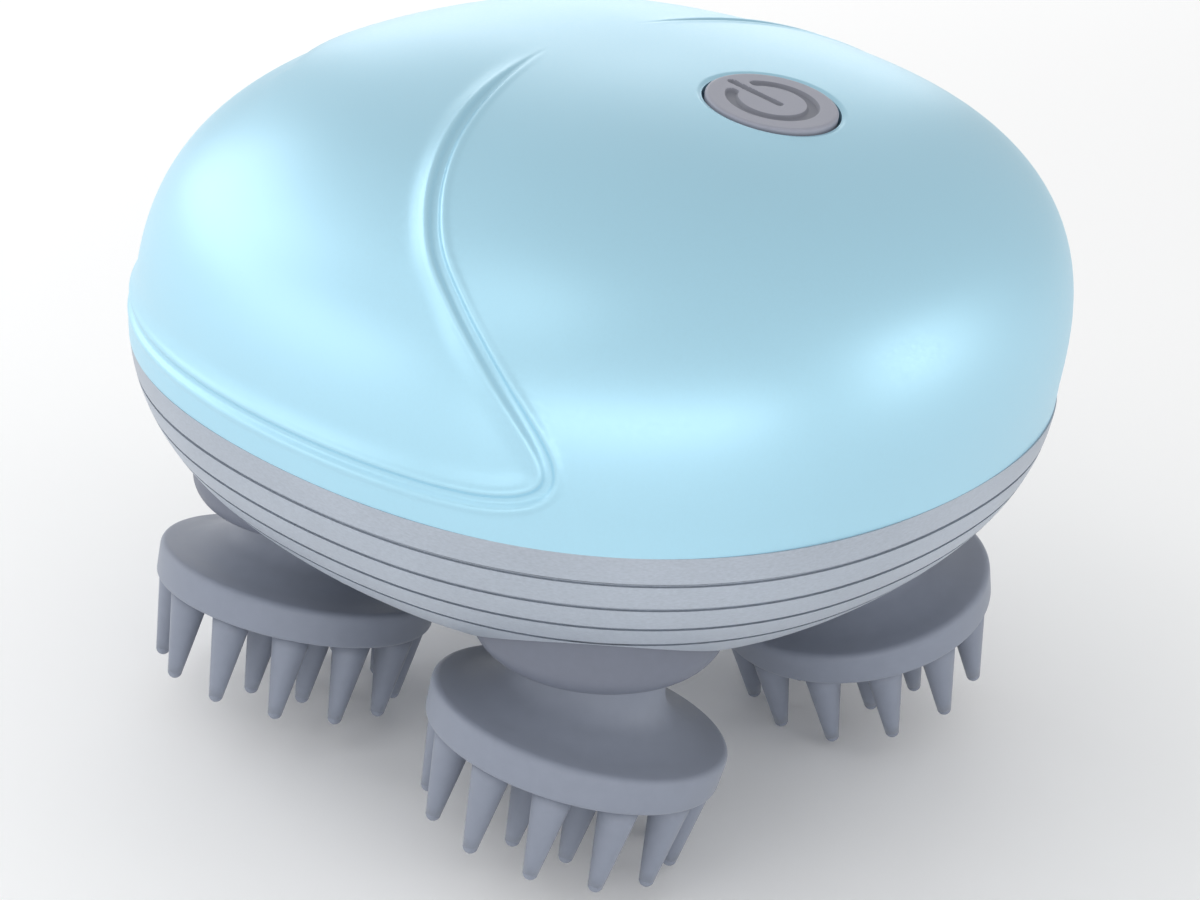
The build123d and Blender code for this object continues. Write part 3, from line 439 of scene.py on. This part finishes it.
def bristle_tree():
    """Geometry Nodes tree: two rings and a centre of bristles that hang from local Z."""
    tree = bpy.data.node_groups.new("bristle_field", "GeometryNodeTree")
    tree.interface.new_socket(name="Geometry", in_out="OUTPUT", socket_type="NodeSocketGeometry")
    for label in ("Outer radius", "Inner radius", "Length", "Root radius", "Tip radius", "Foot height"):
        tree.interface.new_socket(name=label, in_out="INPUT", socket_type="NodeSocketFloat")
    for label in ("Outer count", "Inner count"):
        tree.interface.new_socket(name=label, in_out="INPUT", socket_type="NodeSocketInt")
    tree.interface.new_socket(name="Material", in_out="INPUT", socket_type="NodeSocketMaterial")
    nodes, links = tree.nodes, tree.links
    enter = nodes.new("NodeGroupInput")
    leave = nodes.new("NodeGroupOutput")
    cone = nodes.new("GeometryNodeMeshCone")
    cone.inputs["Vertices"].default_value = BRISTLE_SIDES
    cone.inputs["Side Segments"].default_value = 6
    links.new(enter.outputs["Tip radius"], cone.inputs["Radius Top"])
    links.new(enter.outputs["Root radius"], cone.inputs["Radius Bottom"])
    shaft = nodes.new("ShaderNodeMath")
    shaft.operation = "SUBTRACT"
    links.new(enter.outputs["Length"], shaft.inputs[0])
    links.new(enter.outputs["Tip radius"], shaft.inputs[1])
    links.new(shaft.outputs[0], cone.inputs["Depth"])
    ball = nodes.new("GeometryNodeMeshUVSphere")
    ball.inputs["Segments"].default_value = BRISTLE_SIDES
    ball.inputs["Rings"].default_value = BRISTLE_SIDES // 2
    links.new(enter.outputs["Tip radius"], ball.inputs["Radius"])
    lift = nodes.new("ShaderNodeCombineXYZ")
    links.new(shaft.outputs[0], lift.inputs["Z"])
    raised = nodes.new("GeometryNodeTransform")
    links.new(ball.outputs["Mesh"], raised.inputs["Geometry"])
    links.new(lift.outputs[0], raised.inputs["Translation"])
    bristle = nodes.new("GeometryNodeJoinGeometry")
    links.new(cone.outputs["Mesh"], bristle.inputs[0])
    links.new(raised.outputs["Geometry"], bristle.inputs[0])
    spots = nodes.new("GeometryNodeJoinGeometry")
    for ring in ("Outer", "Inner"):
        circle = nodes.new("GeometryNodeMeshCircle")
        links.new(enter.outputs[ring + " count"], circle.inputs["Vertices"])
        links.new(enter.outputs[ring + " radius"], circle.inputs["Radius"])
        half_step = nodes.new("ShaderNodeMath")
        half_step.operation = "DIVIDE"
        half_step.inputs[0].default_value = math.pi
        links.new(enter.outputs[ring + " count"], half_step.inputs[1])
        spin = nodes.new("ShaderNodeCombineXYZ")
        links.new(half_step.outputs[0], spin.inputs["Z"])
        turned_ring = nodes.new("GeometryNodeTransform")
        links.new(circle.outputs["Mesh"], turned_ring.inputs["Geometry"])
        links.new(spin.outputs[0], turned_ring.inputs["Rotation"])
        points = nodes.new("GeometryNodeMeshToPoints")
        links.new(turned_ring.outputs["Geometry"], points.inputs["Mesh"])
        links.new(points.outputs["Points"], spots.inputs[0])
    centre = nodes.new("GeometryNodePoints")
    centre.inputs["Count"].default_value = 1
    links.new(centre.outputs[0], spots.inputs[0])
    stand = nodes.new("GeometryNodeInstanceOnPoints")
    links.new(spots.outputs[0], stand.inputs["Points"])
    links.new(bristle.outputs[0], stand.inputs["Instance"])
    stand.inputs["Rotation"].default_value = (math.pi, 0, 0)
    foot = nodes.new("ShaderNodeCombineXYZ")
    links.new(enter.outputs["Foot height"], foot.inputs["Z"])
    placed = nodes.new("GeometryNodeTransform")
    links.new(stand.outputs["Instances"], placed.inputs["Geometry"])
    links.new(foot.outputs[0], placed.inputs["Translation"])
    real = nodes.new("GeometryNodeRealizeInstances")
    links.new(placed.outputs["Geometry"], real.inputs["Geometry"])
    shade = nodes.new("GeometryNodeSetShadeSmooth")
    links.new(real.outputs["Geometry"], shade.inputs["Geometry"])
    finish = nodes.new("GeometryNodeSetMaterial")
    links.new(shade.outputs["Geometry"], finish.inputs["Geometry"])
    links.new(enter.outputs["Material"], finish.inputs["Material"])
    links.new(finish.outputs["Geometry"], leave.inputs["Geometry"])
    return tree


def grown(name, tree, values):
    """Plain mesh that a Geometry Nodes tree makes from its named inputs."""
    holder = link_mesh(name + "_holder", bpy.data.meshes.new(name + "_holder"))
    modifier = holder.modifiers.new(name, "NODES")
    modifier.node_group = tree
    for item in tree.interface.items_tree:
        if item.in_out == "INPUT" and item.name in values:
            modifier[item.identifier] = values[item.name]
    holder.update_tag()
    bpy.context.view_layer.update()
    result = holder.evaluated_get(bpy.context.evaluated_depsgraph_get())
    mesh = bpy.data.meshes.new_from_object(result)
    bpy.data.objects.remove(holder)
    return mesh


silicone = moulded("head_silicone", HEAD_BLUE_GREY, 0.52, 0.05, 650, depth=0.03,
                   Specular_IOR_Level=0.35, Sheen_Weight=0.12, Sheen_Roughness=0.45)
head_profile = rounded_profile([
    (0, NECK_TOP, 0),
    (NECK_RADIUS, NECK_TOP, 0.5),
    (NECK_RADIUS, NECK_FOOT, 4.2),
    (FLARE_RADIUS, FLARE_Z, 3.2),
    (DISC_RADIUS, DISC_FACE + RIM_THICK, 0.9),
    (DISC_RADIUS - RIM_TAPER, DISC_FACE, 0.6),
    (0, DISC_FACE, 0),
])
head_form = turned("head_form", head_profile, HEAD_SEGMENTS)
smooth_by_angle(head_form, 50)
head_form.materials.append(silicone)
bristles = grown("bristles", bristle_tree(), {
    "Outer radius": OUTER_RING[0] * MM,
    "Outer count": OUTER_RING[1],
    "Inner radius": INNER_RING[0] * MM,
    "Inner count": INNER_RING[1],
    "Length": BRISTLE_LENGTH * MM,
    "Root radius": BRISTLE_ROOT * MM,
    "Tip radius": BRISTLE_TIP * MM,
    "Foot height": DISC_FACE * MM,
    "Material": silicone,
})


def head_matrix(corner):
    """Local head axes to their place: Z up the leaning axis, X towards the low side."""
    pull = next(joint for joint in frame["joints"] if joint["name"] == "head_pull_" + corner)
    up = -Vector(pull["axis"]).normalized()
    low_side = Vector((up.x, up.y, 0)).normalized()
    low_side = (low_side - up * low_side.dot(up)).normalized()
    low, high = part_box("spindle_" + corner)
    pivot = Vector(((low[0] + high[0]) / 2, (low[1] + high[1]) / 2, PIVOT_Z * MM))
    turn = Matrix((low_side, up.cross(low_side), up)).transposed().to_4x4()
    return Matrix.Translation(pivot) @ turn


for corner in CORNERS:
    shape = bmesh.new()
    shape.from_mesh(head_form)
    shape.from_mesh(bristles)
    shape.transform(head_matrix(corner))
    mesh = bpy.data.meshes.new("silicone_head_" + corner)
    shape.to_mesh(mesh)
    shape.free()
    mesh.materials.append(silicone)
    head = link_mesh("silicone_head_" + corner, mesh)
    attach(head, "head_" + corner)
    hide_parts("massage_head_" + corner)

# ---- Upper casing ---------------------------------------------------------------------------
# Pearl-blue gloss moulding with three posts inside for the casing screws. A rounded groove with
# raised lips outlines a petal over the rear end: it runs level above the joint, turns up at a
# corner on each flank and fades out near the crown.
HALF_LENGTH = 52.0
HALF_WIDTH = 50.0
WIDEST_Z = 49.7
DOME_HEIGHT = 33.8
DOME_POWER = 2.69
BOWL_DEPTH = 30.2
BOWL_POWER = 2.15
DOME_LEAN = -0.11
SQUARENESS = 0.0463
WALL = 2.2
SEAM_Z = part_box("upper_casing")[0].z / MM
SKIN_STEP = 1.3             # spacing of the rings of the outer skin
LINING_STEP = 3.0           # the same on the hidden inner skin
AROUND = 240
SEAM_STEPS = 60
DOME_STEPS = 4000
CROWN_SHARE = 0.012         # rings smaller than this share of the width are left to the crown point
HALVINGS = 40
PAST_SKIN = 6.0             # how far outside the skin a search for it starts
PETAL_WIDTH = 0.78          # half width of the groove
PETAL_TIP = 0.45            # share of that width left at its tips
PETAL_FLOOR = 0.3           # share of that width that is flat at the bottom
PETAL_DEPTH = 0.34
PETAL_BEAD = 0.15           # height of the rounded lip along each edge of the groove
BEAD_AWAY = 0.25            # from the edge of the groove to the top of the lip
BEAD_WIDTH = 0.42
PETAL_INSET = 0.45          # how far the petal lies below the dome around it
INSET_WIDTH = 2.5
PETAL_FADE = 20.0           # length over which it fades in from its tips
PETAL_LEVEL = 51.7
PETAL_POINT = 0.12          # spacing of the points along the groove
REAR_KEYS = 24
REFINED = (3.4, 2.4, 1.7)   # reach of each refining pass to the sides of the groove
WELL_SHARE = 0.6            # share of that reach round the button well
PETAL_SWEEP = ((6.5, 3.5), (20.5, 0.0), (40.5, -6.0), (43.0, -18.5))   # over the dome, x and y
PETAL_CORNER = ((-23.0, 66.5), (-32.0, 58.5), (-37.0, 51.5), (-21.0, 51.7))   # flank, y and height
SWEEP_KEYS = 8
CORNER_KEYS = 10
POSTS = ((0, 37), (0, -37), (-37, 0))
POST_RADIUS = 3.4
SCREW_RADIUS = 1.25
SCREW_DEPTH = 9.0
POST_BURIED = 1.4           # walls between the skin and the end of a post
POST_SIDES = 32
BUTTON_RADIUS = 7.2
BUTTON_GAP = 0.35
BUTTON_LIP = 0.22           # drop of the casing where it rolls into the button well
LIP_WIDTH = 0.6
LIP_REACH = 1.2
WELL_TOP = 4.0
WELL_FOOT = -6.0
WELL_SIDES = 96
NEAR_BUTTON = 4.0           # depth below the button face that still counts as near the well
PEARL_BLUE = (0.385, 0.65, 0.785)


def pebble_share(x, y, z):
    """1 on the outer skin, less inside it."""
    rise = z - WIDEST_Z
    if rise > 0:
        y = y - DOME_LEAN * rise
        power = DOME_POWER
        tall = rise / DOME_HEIGHT
    else:
        power = BOWL_POWER
        tall = -rise / BOWL_DEPTH
    angle = math.atan2(y, x)
    square = 1 + SQUARENESS * (1 - math.cos(4 * angle)) / 2
    wide = math.hypot(x / HALF_WIDTH, y / HALF_LENGTH) / square
    return wide ** power + tall ** power


def pebble_point(angle, rise, shrink, inset):
    """Point of the pebble skin at an angle, for a rise above the widest level."""
    square = 1 + SQUARENESS * (1 - math.cos(4 * angle)) / 2
    reach = shrink * square / math.hypot(math.cos(angle) / (HALF_WIDTH - inset),
                                         math.sin(angle) / (HALF_LENGTH - inset))
    return (reach * math.cos(angle) * MM,
            (reach * math.sin(angle) + DOME_LEAN * max(rise, 0)) * MM,
            (WIDEST_Z + rise) * MM)


def solve(low, high, test):
    """Value between low and high where the test changes from true to false."""
    for _ in range(HALVINGS):
        middle = (low + high) / 2
        if test(middle):
            low = middle
        else:
            high = middle
    return low


def skin_rings(inset, spacing):
    """Evenly spaced (rise, shrink) pairs from the seam to the crown."""
    seam = SEAM_Z - WIDEST_Z
    profile = []
    for step in range(SEAM_STEPS):
        rise = seam * (1 - step / SEAM_STEPS)
        profile.append((rise, (1 - (-rise / (BOWL_DEPTH - inset)) ** BOWL_POWER) ** (1 / BOWL_POWER)))
    for step in range(DOME_STEPS + 1):
        angle = math.pi / 2 * step / DOME_STEPS
        tall = math.sin(angle) ** (2 / DOME_POWER)
        profile.append((tall * (DOME_HEIGHT - inset), max(math.cos(angle), 0) ** (2 / DOME_POWER)))
    rings = [profile[0]]
    walked = 0
    for before, after in zip(profile, profile[1:]):
        walked += math.hypot(after[0] - before[0], (after[1] - before[1]) * HALF_WIDTH)
        if walked >= spacing:
            rings.append(after)
            walked = 0
    return [ring for ring in rings if ring[1] > CROWN_SHARE]


def ease(value):
    """Smooth step from 0 to 1."""
    value = min(max(value, 0), 1)
    return value * value * (3 - 2 * value)


def curve_point(curve, t):
    """Point of a smooth curve that leaves and arrives along its two middle handles."""
    a, b, c, d = (Vector(handle) for handle in curve)
    return (1 - t) ** 3 * a + 3 * t * (1 - t) ** 2 * b + 3 * t * t * (1 - t) * c + t ** 3 * d


def petal_line():
    """Dense points of the groove from tip to tip, each with its strength there."""
    keys = []
    for step in range(SWEEP_KEYS):
        x, y = curve_point(PETAL_SWEEP, step / (SWEEP_KEYS - 1))
        z = solve(WIDEST_Z, WIDEST_Z + DOME_HEIGHT, lambda h: pebble_share(x, y, h) < 1)
        keys.append(Vector((x, y, z)))
    for step in range(CORNER_KEYS):
        y, z = curve_point(PETAL_CORNER, step / (CORNER_KEYS - 1))
        x = solve(0, HALF_WIDTH + PAST_SKIN, lambda w: pebble_share(w, y, z) < 1)
        keys.append(Vector((x, y, z)))
    start = math.atan2(keys[-1].y, keys[-1].x)
    for step in range(1, REAR_KEYS + 1):
        angle = start + (math.pi / 2 - start) * step / REAR_KEYS
        reach = solve(0, HALF_LENGTH + PAST_SKIN, lambda r: pebble_share(
            r * math.cos(angle), r * math.sin(angle), PETAL_LEVEL) < 1)
        keys.append(Vector((reach * math.cos(angle), reach * math.sin(angle), PETAL_LEVEL)))
    keys += [Vector((-key.x, key.y, key.z)) for key in reversed(keys[:-1])]
    line = []
    for index in range(len(keys) - 1):
        a = keys[max(index - 1, 0)]
        b, c = keys[index], keys[index + 1]
        d = keys[min(index + 2, len(keys) - 1)]
        steps = max(int((c - b).length / PETAL_POINT), 1)
        for step in range(steps):
            t = step / steps
            line.append(0.5 * (2 * b + (c - a) * t + (2 * a - 5 * b + 4 * c - d) * t * t
                               + (3 * b - a - 3 * c + d) * t ** 3))
    line.append(keys[-1])
    length = [0.0]
    for before, after in zip(line, line[1:]):
        length.append(length[-1] + (after - before).length)
    strengths = [ease(min(place, length[-1] - place) / PETAL_FADE) for place in length]
    return line, strengths


def skin_mesh(inset, spacing):
    """Open skin of the dome: rings from the seam up, closed at the crown."""
    shape = bmesh.new()
    previous = None
    rings = skin_rings(inset, spacing)
    for rise, shrink in rings:
        ring = [shape.verts.new(pebble_point(2 * math.pi * (step + 0.5) / AROUND, rise, shrink, inset))
                for step in range(AROUND)]
        if previous:
            for step in range(AROUND):
                after = (step + 1) % AROUND
                shape.faces.new((previous[step], previous[after], ring[after], ring[step]))
        previous = ring
    height = DOME_HEIGHT - inset
    crown = shape.verts.new((0, DOME_LEAN * height * MM, (WIDEST_Z + height) * MM))
    for step in range(AROUND):
        shape.faces.new((previous[step], previous[(step + 1) % AROUND], crown))
    return shape


def button_axes():
    """Middle of the button face and its outward normal, from the CAD cap."""
    low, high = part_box("button_cap")
    press = next(joint for joint in frame["joints"] if joint["name"] == "power_button_press")
    normal = -Vector(press["axis"]).normalized()
    middle = (low + high) / 2
    points = [vertex.co for vertex in frame["nodes"]["button_cap"].data.vertices]
    top = max(point.dot(normal) for point in points)
    centre = middle + normal * (top - middle.dot(normal))
    offset = sum(((point - centre) - normal * (point - centre).dot(normal) for point in points),
                 Vector()) / len(points)
    return centre + offset, normal


button_middle, button_normal = button_axes()


def shape_petal(shape):
    """Refines the skin along the groove and the button well, then presses both into it."""
    line, strengths = petal_line()
    tree = kdtree.KDTree(len(line))
    for index, point in enumerate(line):
        tree.insert(point * MM, index)
    tree.balance()

    def well_distance(place):
        """Distance from the edge of the well, in millimetres; large on the far side of the casing."""
        away = place - button_middle
        if away.dot(button_normal) < -NEAR_BUTTON * MM:
            return HALF_LENGTH
        away -= button_normal * away.dot(button_normal)
        return away.length / MM - (BUTTON_RADIUS + BUTTON_GAP)

    for reach in REFINED:
        near = set()
        for vertex in shape.verts:
            by_groove = tree.find(vertex.co)[2] < reach * MM
            if by_groove or abs(well_distance(vertex.co)) < reach * WELL_SHARE:
                near.add(vertex)
        edges = [edge for edge in shape.edges if edge.verts[0] in near or edge.verts[1] in near]
        bmesh.ops.subdivide_edges(shape, edges=edges, cuts=1, use_grid_fill=True)
    shape.normal_update()
    moves = []
    for vertex in shape.verts:
        _, index, distance = tree.find(vertex.co)
        distance /= MM
        strength = strengths[index]
        along = line[min(index + 1, len(line) - 1)] - line[max(index - 1, 0)]
        side = vertex.normal.cross(along).dot(vertex.co / MM - line[index])
        width = PETAL_WIDTH * (PETAL_TIP + (1 - PETAL_TIP) * strength)
        flat = PETAL_FLOOR * width
        drop = PETAL_DEPTH * strength * (1 - ease((distance - flat) / (width - flat)))
        drop -= PETAL_BEAD * strength * math.exp(-((distance - width - BEAD_AWAY) / BEAD_WIDTH) ** 2)
        if side > 0:
            drop += PETAL_INSET * strength * ease((distance - width) / INSET_WIDTH)
        lip = well_distance(vertex.co)
        if abs(lip) < LIP_REACH:
            drop += BUTTON_LIP * (1 - ease(lip / LIP_WIDTH))
        moves.append(vertex.normal * drop * MM)
    for vertex, move in zip(shape.verts, moves):
        vertex.co -= move


outer = skin_mesh(0, SKIN_STEP)
shape_petal(outer)
for face in outer.faces:
    face.normal_update()
inner = skin_mesh(WALL, LINING_STEP)
inner_mesh = bpy.data.meshes.new("inner_skin")
bmesh.ops.reverse_faces(inner, faces=inner.faces)
inner.to_mesh(inner_mesh)
inner.free()
outer.from_mesh(inner_mesh)
rims = [edge for edge in outer.edges if edge.is_boundary]
bmesh.ops.bridge_loops(outer, edges=rims)
for x, y in POSTS:
    skin = solve(WIDEST_Z, WIDEST_Z + DOME_HEIGHT, lambda h: pebble_share(x, y, h) < 1)
    roof = skin - WALL * POST_BURIED
    post = turned("post", [
        Vector((0, SEAM_Z + SCREW_DEPTH)),
        Vector((SCREW_RADIUS, SEAM_Z + SCREW_DEPTH)),
        Vector((SCREW_RADIUS, SEAM_Z)),
        Vector((POST_RADIUS, SEAM_Z)),
        Vector((POST_RADIUS, roof)),
        Vector((0, roof)),
    ], POST_SIDES)
    post.transform(Matrix.Translation((x * MM, y * MM, 0)))
    outer.from_mesh(post)
casing_mesh = bpy.data.meshes.new("pearl_casing")
outer.to_mesh(casing_mesh)
outer.free()
smooth_by_angle(casing_mesh, 40)
casing = link_mesh("pearl_casing", casing_mesh)

well_profile = [Vector((0, WELL_TOP)), Vector((BUTTON_RADIUS + BUTTON_GAP, WELL_TOP)),
                Vector((BUTTON_RADIUS + BUTTON_GAP, WELL_FOOT)), Vector((0, WELL_FOOT))]
well = link_mesh("well_cutter", turned("well_cutter", well_profile, WELL_SIDES))
smooth_by_angle(well.data)
well_turn = button_normal.to_track_quat("Z", "Y").to_matrix().to_4x4()
well.data.transform(Matrix.Translation(button_middle) @ well_turn)
cut = casing.modifiers.new("button_well", "BOOLEAN")
cut.operation = "DIFFERENCE"
cut.solver = "EXACT"
cut.object = well
bpy.context.view_layer.update()
cut_mesh = bpy.data.meshes.new_from_object(casing.evaluated_get(bpy.context.evaluated_depsgraph_get()))
casing.modifiers.clear()
casing.data = cut_mesh
bpy.data.objects.remove(well)
smooth_by_angle(cut_mesh, 40)
pearl_blue = moulded("pearl_blue", PEARL_BLUE, 0.42, 0.02, 2600, depth=0.003,
                     Metallic=0.4, Coat_Weight=0.18, Coat_Roughness=0.3)
cut_mesh.materials.clear()
cut_mesh.materials.append(pearl_blue)
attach(casing, "housing")
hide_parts("upper_casing")

# ---- Power button ---------------------------------------------------------------------------
# Satin grey cap, nearly flush, with a power symbol sunk into it: an open ring and a bar that
# points to the rear, darkened inside by painted shade. Its skirt and rod reach down to the switch.
SYMBOL_RING = 4.4
RING_WIDTH = 0.66           # half width of the sunk ring
BAR_WIDTH = 0.5             # half width of the sunk bar
SYMBOL_DEPTH = 0.35
SYMBOL_GAP = math.radians(27)
BAR_START = -0.9
BAR_END = 5.6
SYMBOL_WALL = 0.22          # width of the slope from the face to the sunk symbol
WALL_INSIDE = 0.8           # share of that slope inside the edge of the symbol
SYMBOL_SHADE_REACH = 0.03         # how far the painted shade reaches past the edge of the symbol
CAP_RINGS = 76
CAP_SIDES = 240
CAP_THICK = 2.3
EDGE_WIDTH = 0.45           # rounded edge of the face
EDGE_DROP = 0.3
FLANGE_RADIUS = 8.4
FLANGE_FOOT = 3.2
ROD_RADIUS = 1.7
ROD_FOOT = 7.8
BUTTON_GREY = (0.30, 0.31, 0.37)
# painted shade inside the sunk symbol
RECESS_SHADE_GREY = (0.20, 0.21, 0.25)


def symbol_edge(x, y):
    """Distance from a point of the cap to the edge of the symbol, less than 0 inside it."""
    bar = math.hypot(x, y - min(max(y, BAR_START), BAR_END)) - BAR_WIDTH
    angle = math.atan2(x, y)
    if abs(angle) > SYMBOL_GAP:
        ring = abs(math.hypot(x, y) - SYMBOL_RING)
    else:
        end_x = SYMBOL_RING * math.sin(SYMBOL_GAP)
        end_y = SYMBOL_RING * math.cos(SYMBOL_GAP)
        ring = math.hypot(abs(x) - end_x, y - end_y)
    return min(bar, ring - RING_WIDTH)


cap = bmesh.new()
previous = None
pole = cap.verts.new((0, 0, -SYMBOL_DEPTH * MM))
for index in range(1, CAP_RINGS + 1):
    radius = BUTTON_RADIUS * index / CAP_RINGS
    ring = []
    for step in range(CAP_SIDES):
        angle = 2 * math.pi * step / CAP_SIDES
        x, y = radius * math.cos(angle), radius * math.sin(angle)
        drop = SYMBOL_DEPTH * (1 - ease(symbol_edge(x, y) / SYMBOL_WALL + WALL_INSIDE))
        edge = max(radius - BUTTON_RADIUS + EDGE_WIDTH, 0) / EDGE_WIDTH
        drop += EDGE_DROP * (1 - math.sqrt(max(1 - edge * edge, 0)))
        ring.append(cap.verts.new((x * MM, y * MM, -drop * MM)))
    for step in range(CAP_SIDES):
        after = (step + 1) % CAP_SIDES
        if previous:
            cap.faces.new((previous[step], ring[step], ring[after], previous[after]))
        else:
            cap.faces.new((pole, ring[step], ring[after]))
    previous = ring
for radius, depth in (
    (BUTTON_RADIUS, CAP_THICK),
    (FLANGE_RADIUS, CAP_THICK),
    (FLANGE_RADIUS, FLANGE_FOOT),
    (ROD_RADIUS, FLANGE_FOOT),
    (ROD_RADIUS, ROD_FOOT),
):
    ring = []
    for step in range(CAP_SIDES):
        angle = 2 * math.pi * step / CAP_SIDES
        x, y = radius * math.cos(angle), radius * math.sin(angle)
        ring.append(cap.verts.new((x * MM, y * MM, -depth * MM)))
    for step in range(CAP_SIDES):
        after = (step + 1) % CAP_SIDES
        cap.faces.new((previous[step], ring[step], ring[after], previous[after]))
    previous = ring
cap.faces.new(list(reversed(previous)))
for face in cap.faces:
    middle = face.calc_center_median() / MM
    # faces in and just round the sunk symbol take the painted-shade material
    sunk = middle.z > -CAP_THICK / 2 and symbol_edge(middle.x, middle.y) < SYMBOL_SHADE_REACH
    face.material_index = 1 if sunk else 0
cap_mesh = bpy.data.meshes.new("power_button")
cap.to_mesh(cap_mesh)
cap.free()
rear = Vector((0, 1, 0)) - button_normal * button_normal.y
rear.normalize()
cap_axes = Matrix((rear.cross(button_normal), rear, button_normal)).transposed().to_4x4()
cap_mesh.transform(Matrix.Translation(button_middle) @ cap_axes)
smooth_by_angle(cap_mesh, 60)
button_grey = moulded("button_grey", BUTTON_GREY, 0.48, 0.05, 1200, depth=0.02)
button_recess_shade = moulded("button_recess_shade", RECESS_SHADE_GREY, 0.55, 0.06, 1200, depth=0.02)
cap_mesh.materials.append(button_grey)
cap_mesh.materials.append(button_recess_shade)
button = link_mesh("power_button", cap_mesh)
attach(button, "button")
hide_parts("button_cap")

# ---- Charge port flap -----------------------------------------------------------------------
# Silicone flap over the rear charge socket. Its lower edge hinges beside the anchor plugged
# into the bowl below it.
finish_nodes(silicone, "port_flap", "flap_anchor")
